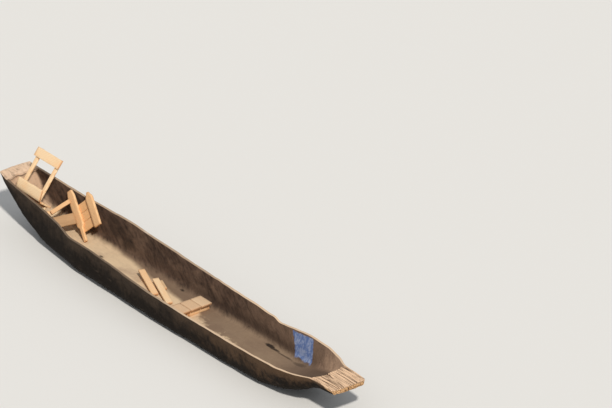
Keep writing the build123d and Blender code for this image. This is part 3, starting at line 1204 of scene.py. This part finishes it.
    def skin(self) -> Skin:
        """Lay all the rings and what they keep at their points.

        Returns:
            The log's surface before its tool marks.
        """
        form = self.form
        x = self.places()
        far, near = (self.half_ring(x, side) for side in (Side.FAR, Side.NEAR))
        ring = np.concatenate([far, (near * np.array([-1, 1]))[:, -2:0:-1]], axis=1)
        points = np.concatenate([np.repeat(x[:, None, None], ring.shape[1], axis=1), ring], axis=2)
        on_deck = ((x < form.far_edge) | (x > form.near_edge))[:, None]
        marks = {}
        for name, half in self.kinds().items():
            row = np.concatenate([half, half[-2:0:-1]])
            marks[name] = np.repeat(row[None, :], len(x), axis=0)
        past_edge = np.maximum(form.far_edge - x, x - form.near_edge)[:, None]
        sides_pale = ease(past_edge, 0.07, 0.41) * ease(marks["height"], 0.1, 0.9)
        marks["deck"] = np.where(marks["inner"] > 0, on_deck * 1.0, sides_pale)
        marks["deck"][[0, 1, -2, -1]] = 1.0
        for name in ("rim", "inner", "floor"):
            marks[name] = marks[name] * (1 - on_deck)
        return Skin("canoe_hull", points, marks, {})

    def fray(self, points: Numbers, x: Numbers, y: Numbers) -> None:
        """Make the decks' inner edges ragged, and notch and ease the tips.

        Args:
            points: The surface's points, which are changed.
            x: Where they were along the canoe.
            y: Where they were across it.
        """
        form = self.form
        for edge, seed, bow in ((form.far_edge, 31, -0.03), (form.near_edge, 32, 0.035)):
            inside = np.abs(y) < form.outer(np.array([edge])).rim[0] - 0.02
            close = np.exp(-(((x - edge) / self.fray_reach) ** 2)) * inside
            ragged = layered((Ripple(seed, 0.045, 1, 0.012), Ripple(seed + 9, 0.017, 1, 0.005)), y)
            points[..., 0] += close * (ragged + bow * (1 - (y / self.bow_half) ** 2))
        for tip, sign, seed in ((form.far_tip, -1, 41), (form.near_tip, 1, 42)):
            close = ease(sign * x, sign * tip - self.tip_reach, sign * tip)
            notch = np.clip(Ripple(seed, 0.028, 1, 1.0).at(y) - 0.2, 0, 1) * self.notch_depth
            notch += self.corner_loss * (y / self.tip_half[0]) ** 4 + self.tip_loss
            points[..., 0] -= sign * close * notch
        for end in (0, -1):
            inward = (points[end].mean(axis=0) - points[end])[:, 1:]
            points[end, :, 1:] += inward * (self.chamfer / np.array(self.tip_half))

    def hew(self, points: Numbers, marks: Mapping[str, Numbers], x: Numbers) -> None:
        """Push the surface in and out as hand tools leave it, less at the tips and the rims.

        Args:
            points: The surface's points, which are changed.
            marks: What each point is on.
            x: Where the points were along the canoe.
        """
        strides = np.linalg.norm(np.diff(points, axis=1, prepend=points[:, -1:]), axis=2)
        around = np.cumsum(strides, axis=1)
        around -= around[:, :1]
        tip_room = np.minimum(x - self.form.far_tip, self.form.near_tip - x)
        calm = ease(tip_room, 0.05, 0.9) * (1 - self.tip_calm) + self.tip_calm
        outside = calm * (1 - np.clip(marks["inner"] + marks["deck"], 0, 1))
        walls = marks["inner"] * (1 - marks["floor"])
        flats = marks["floor"] + marks["deck"] * (marks["height"] >= 1)
        push = np.zeros_like(x)
        for share, ripples in zip((outside, walls, flats), self.tools):
            push += share * layered(ripples, x, around)
        push *= 1 - 0.7 * marks["rim"]
        points += push[..., None] * self.normals(points)

    def wear(self, skin: Skin) -> None:
        """Wear and tool the surface, held inside its solid's box.

        Args:
            skin: The surface, which is changed.
        """
        points = skin.points
        x, y = points[..., 0].copy(), points[..., 1].copy()
        self.fray(points, x, y)
        self.hew(points, skin.marks, x)
        low, high = CAD_BOX
        hull_low, hull_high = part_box("hull")
        np.clip(points, np.maximum(hull_low, low), np.minimum(hull_high, high), out=points)

    @staticmethod
    def normals(points: Numbers) -> Numbers:
        """Work out which way the surface faces.

        Args:
            points: Its points as rings by points by three.

        Returns:
            The outward direction at each point.
        """
        around = np.roll(points, -1, axis=1) - np.roll(points, 1, axis=1)
        facing = np.cross(np.gradient(points, axis=0), around)
        size = np.linalg.norm(facing, axis=2, keepdims=True)
        return -facing / np.maximum(size, 1e-12)

    def build(self) -> bpy.types.Object:
        """Make the hull's mesh and put it in place of its solid.

        Returns:
            The hull.
        """
        skin = self.skin()
        self.wear(skin)
        hull = skin.build()
        hull.data.set_sharp_from_angle(angle=math.radians(self.sharp))
        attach(hull, "canoe")
        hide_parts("hull")
        return hull

    def dress(self, hull: bpy.types.Object) -> None:
        """Give the hull its wood."""
        hull.data.materials.append(self.finish.make())


@dataclass(frozen=True)
class Plank:
    """One sawn plank, built over its solid.

    Attributes:
        node: The solid's name.
        body: The body that it rides on.
        seed: Which small faults it has.
        tone: 0 for pale wood, 1 for warm.
        age: 0 for a fresh face, 1 for a greyed one.
        painted_shade: 0 for none, 1 for the most painted shade on its broad faces.
        taper: How far its upper end is cut to a point, from 0 to 1, over the taper_length.
        edge: How far its edges are eased, in metres.
        pitch: The distance between its rings, in metres.
        fault: Half the height of the faults along its edges, as fault_length is their length.
        skew: How far at most its ends are off square, for each metre across.
        skew_length: How far from an end its shape follows that.
        under_age: The share of the greying on the sides that don't face up.
        sharp: The angle in degrees from which an edge shows as sharp.
    """

    node: str
    body: str
    seed: int
    tone: float
    age: float
    painted_shade: float = 0.0
    taper: float = 0.0
    taper_length: float = 0.07
    edge: float = 0.0014
    pitch: float = 0.022
    fault: float = 0.0011
    fault_length: float = 0.11
    skew: float = 0.012
    skew_length: float = 0.03
    under_age: float = 0.25
    sharp: float = 50.0

    def axes(self) -> tuple[Numbers, Numbers, Numbers]:
        """Find the solid's middle, its own axes and its half sizes along them.

        Returns:
            The middle, the axes as rows from long to thin, and the half sizes.
        """
        mesh = frame["nodes"][self.node].data
        corners = np.array([vertex.co for vertex in mesh.vertices], float)
        directions = []
        for face in mesh.polygons:
            normal = np.array(face.normal, float)
            if all(abs(normal @ known) < 0.9 for known in directions):
                directions.append(normal)
        axes = np.array(directions[:3])
        spans = corners @ axes.T
        low, high = spans.min(axis=0), spans.max(axis=0)
        order = np.argsort(low - high)
        axes, low, high = axes[order], low[order], high[order]
        if axes[0][2] < 0:
            axes[0], low[0], high[0] = -axes[0], -high[0], -low[0]
        return np.array((low + high) / 2) @ axes, axes, (high - low) / 2

    def widths(self, along: Numbers, half: Numbers) -> tuple[Numbers, Numbers]:
        """Cut the plank to its outline.

        Args:
            along: Places along it.
            half: The solid's half sizes.

        Returns:
            Its left and its right edge at each place.
        """
        point = 1 - self.taper * ease(along, half[0] - self.taper_length, half[0])
        faults = Ripple(self.seed, self.fault_length, 1, self.fault)
        left = -half[1] * point + faults.at(along) + self.fault
        right = half[1] * point + faults.at(along + 9) - self.fault
        return left, right

    def rings(self, along: Numbers, slip: Numbers, half: Numbers) -> Numbers:
        """Lay the plank's outline at places along it, with eased edges and warped faces.

        Args:
            along: The places.
            slip: How far the outline is drawn in at each.
            half: The solid's half sizes.

        Returns:
            Breadth and thickness as rings by points by two.
        """
        left, right = self.widths(along, half)
        inside = right - left - 2 * self.edge
        rows = [left + self.edge + inside * share for share in np.linspace(0, 1, 6)]
        level, thin = half[2] - slip, half[2] - self.edge
        sides = [(row, level) for row in rows]
        sides += [(right - slip, np.full_like(along, height)) for height in (thin, -thin)]
        sides += [(row, -level) for row in reversed(rows)]
        sides += [(left + slip, np.full_like(along, height)) for height in (-thin, thin)]
        ring = np.stack([np.stack(side, axis=-1) for side in sides], axis=1)
        warp = Ripple(self.seed + 1, 0.16, 0.06, 0.0007)
        ring[..., 1] += warp.at(along[:, None] + 5, ring[..., 0]) * np.sign(ring[..., 1])
        return ring

    def skin(self) -> Skin:
        """Lay the plank's rings.

        Returns:
            The plank's surface, with its own coordinates kept at its points.
        """
        middle, axes, half = self.axes()
        count = max(4, int(2 * half[0] / self.pitch))
        along = np.linspace(-half[0] + self.edge, half[0] - self.edge, count)
        along = np.concatenate([[-half[0]], along, [half[0]]])
        slip = np.concatenate([[self.edge], np.zeros(count), [self.edge]])
        ring = self.rings(along, slip, half)
        local = np.concatenate([np.repeat(along[:, None, None], ring.shape[1], axis=1), ring], axis=2)
        skew = np.random.default_rng(self.seed).uniform(-self.skew, self.skew)
        ends = ease(np.abs(local[..., 0]), half[0] - self.skew_length, half[0])
        local[..., 0] -= np.sign(local[..., 0]) * ends * np.abs(local[..., 1] * skew + 0.001)
        offset = np.array([self.seed * 0.731, self.seed * 0.173, 0.02 * (self.seed % 5)])
        full = np.ones(ring.shape[:2])
        end = np.zeros_like(full)
        end[[0, -1]] = 1
        end[[1, -2]] = 0.5
        up = (np.abs(axes[2][2]) > 0.8) * np.sign(axes[2][2]) * local[..., 2] > 0
        marks = {
            "tone": full * self.tone,
            "age": self.age * np.where(up, 1.0, self.under_age),
            "end": end,
            "face": (np.abs(local[..., 2]) > (half[2] - self.edge) * 0.98) * 1.0,
            "painted_shade": full * self.painted_shade,
        }
        name = self.node.replace("chair", "plank_chair")
        return Skin(name, middle + local @ axes, marks, {"board": local + offset})

    def build(self) -> bpy.types.Object:
        """Make the plank's mesh and put it in place of its solid.

        Returns:
            The plank.
        """
        piece = self.skin().build()
        piece.data.set_sharp_from_angle(angle=math.radians(self.sharp))
        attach(piece, self.body)
        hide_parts(self.node)
        return piece


@dataclass(frozen=True)
class ShoulderPost(Plank):
    """A wide post whose foot is cut to a narrow tenon below a shoulder.

    Attributes:
        shoulder: Where the shoulder is, as a share of the whole length from the foot.
        foot: Half the foot's breadth in metres.
    """

    shoulder: float = 0.30
    foot: float = 0.020

    def widths(self, along: Numbers, half: Numbers) -> tuple[Numbers, Numbers]:
        """Cut the post to its outline, narrow below the shoulder.

        Args:
            along: Places along it.
            half: The solid's half sizes.

        Returns:
            Its left and its right edge at each place.
        """
        left, right = super().widths(along, half)
        split = -half[0] + 2 * half[0] * self.shoulder
        share = ease(along, split - 0.012, split + 0.012)
        return left * share - self.foot * (1 - share), right * share + self.foot * (1 - share)


@dataclass(frozen=True)
class Chairs:
    """The four loose chairs, plank by plank.

    Attributes:
        finish: Their wood.
        tones: Warmth of the wood by chair.
        ages: Greying by chair.
        painted_shade: How much painted shade darkens some planks' broad faces, by their solids' names.
    """

    finish: PlankFinish
    tones: tuple[float, ...] = (0.05, 0.68, 0.30, 0.35)
    ages: tuple[float, ...] = (0.0, 0.0, 0.15, 0.75)
    # Painted shade on some planks, most on chair 2's cross board.
    painted_shade: tuple[tuple[str, float], ...] = (
        ("chair_2_cross_board", 0.75), ("chair_2_cross_rail", 0.25), ("chair_3_block", 0.3),
    )

    def planks(self) -> list[Plank]:
        """List every plank with its own tone and faults.

        Returns:
            The planks, by body and name.
        """
        found: list[Plank] = []
        rng = np.random.default_rng(5)
        for body, nodes in sorted(frame["record"]["behaviour"]["bodies"].items()):
            if not body.startswith("chair"):
                continue
            chair = int(body.split("_")[1]) - 1
            for node in sorted(nodes):
                tone = float(np.clip(self.tones[chair] + rng.uniform(-0.15, 0.3), 0, 1))
                seed = 100 + len(found)
                common = (node, body, seed, tone, self.ages[chair], dict(self.painted_shade).get(node, 0.0))
                if node.endswith("corner_post"):
                    found.append(ShoulderPost(*common, taper=0.35))
                elif node.endswith("short_post"):
                    found.append(Plank(*common, taper=0.75))
                else:
                    found.append(Plank(*common))
        return found

    def build(self) -> list[bpy.types.Object]:
        """Make every plank and return them all."""
        return [plank.build() for plank in self.planks()]

    def dress(self, planks: Sequence[bpy.types.Object]) -> None:
        """Give every plank the same wood, which reads each plank's own tone.

        Args:
            planks: The planks.
        """
        wood = self.finish.make()
        for plank in planks:
            plank.data.materials.append(wood)


@dataclass(frozen=True)
class Studio:
    """The floor, the lamps and the camera, none of them part of the canoe.

    Attributes:
        aim: The point in the middle of the camera's picture.
        frame_width: How wide the picture is, in metres.
        sun_way: Which way the sun is, from the canoe.
        sky: The sky's strength.
    """

    floor_size: float = 160.0
    azimuth: float = 52.949
    elevation: float = 27.717
    distance: float = 60.0
    aim: Triple = (0.646, 1.257, 1.198)
    frame_width: float = 6.5693
    sun_way: Triple = (0.62, -0.30, 0.72)
    sun_power: float = 2.8
    sun_angle: float = 4.0
    sun_colour: Triple = (1.0, 0.95, 0.88)
    sky_colour: Triple = (0.93, 0.96, 1.0)
    sky: float = 0.42

    def build(self) -> bpy.types.Object:
        """Make the floor, the lamps and the camera.

        Returns:
            The floor.
        """
        half = self.floor_size / 2
        mesh = bpy.data.meshes.new("studio_floor")
        corners = [(-half, -half, 0), (half, -half, 0), (half, half, 0), (-half, half, 0)]
        mesh.from_pydata(corners, [], [(0, 1, 2, 3)])
        floor = bpy.data.objects.new("studio_floor", mesh)
        bpy.context.scene.collection.objects.link(floor)
        self.light()
        self.camera()
        return floor

    def light(self) -> None:
        """Add one soft sun over the near end and an even pale sky."""
        lamp = bpy.data.lights.new("sun", "SUN")
        lamp.energy = self.sun_power
        lamp.angle = math.radians(self.sun_angle)
        lamp.color = self.sun_colour
        sun = bpy.data.objects.new("sun", lamp)
        bpy.context.scene.collection.objects.link(sun)
        sun.rotation_mode = "QUATERNION"
        sun.rotation_quaternion = (-Vector(self.sun_way)).to_track_quat("-Z", "Y")
        world = bpy.data.worlds.new("sky")
        world.use_nodes = True
        back = world.node_tree.nodes["Background"]
        back.inputs["Color"].default_value = (*self.sky_colour, 1.0)
        back.inputs["Strength"].default_value = self.sky
        bpy.context.scene.world = world
        bpy.context.scene.view_settings.view_transform = "Standard"

    def camera(self) -> None:
        """Set the camera at the photograph's angle."""
        lens = bpy.data.cameras.new("camera")
        lens.type = "ORTHO"
        lens.ortho_scale = self.frame_width
        lens.clip_start, lens.clip_end = 0.5, 500.0
        camera = bpy.data.objects.new("camera", lens)
        bpy.context.scene.collection.objects.link(camera)
        turn, lift = math.radians(self.azimuth), math.radians(self.elevation)
        back = Vector((math.sin(turn) * math.cos(lift), -math.cos(turn) * math.cos(lift), math.sin(lift)))
        camera.location = Vector(self.aim) + back * self.distance
        camera.rotation_mode = "QUATERNION"
        camera.rotation_quaternion = (-back).to_track_quat("-Z", "Y")
        bpy.context.scene.camera = camera

    def dress(self, floor: bpy.types.Object) -> None:
        """Give the floor its plain finish."""
        floor.data.materials.append(GroundFinish().make())


def main() -> None:
    """Build and dress the canoe, its chairs and the studio."""
    logging.basicConfig(level=logging.INFO, format="%(name)s: %(message)s")
    hull = Hull(LogForm(), LogFinish())
    log = hull.build()
    hull.dress(log)
    LOG.info("%s has %d faces", log.name, len(log.data.polygons))
    chairs = Chairs(PlankFinish())
    planks = chairs.build()
    chairs.dress(planks)
    for plank in planks:
        LOG.info("%s has %d faces", plank.name, len(plank.data.polygons))
    studio = Studio()
    studio.dress(studio.build())


if __name__ == "__main__":
    main()
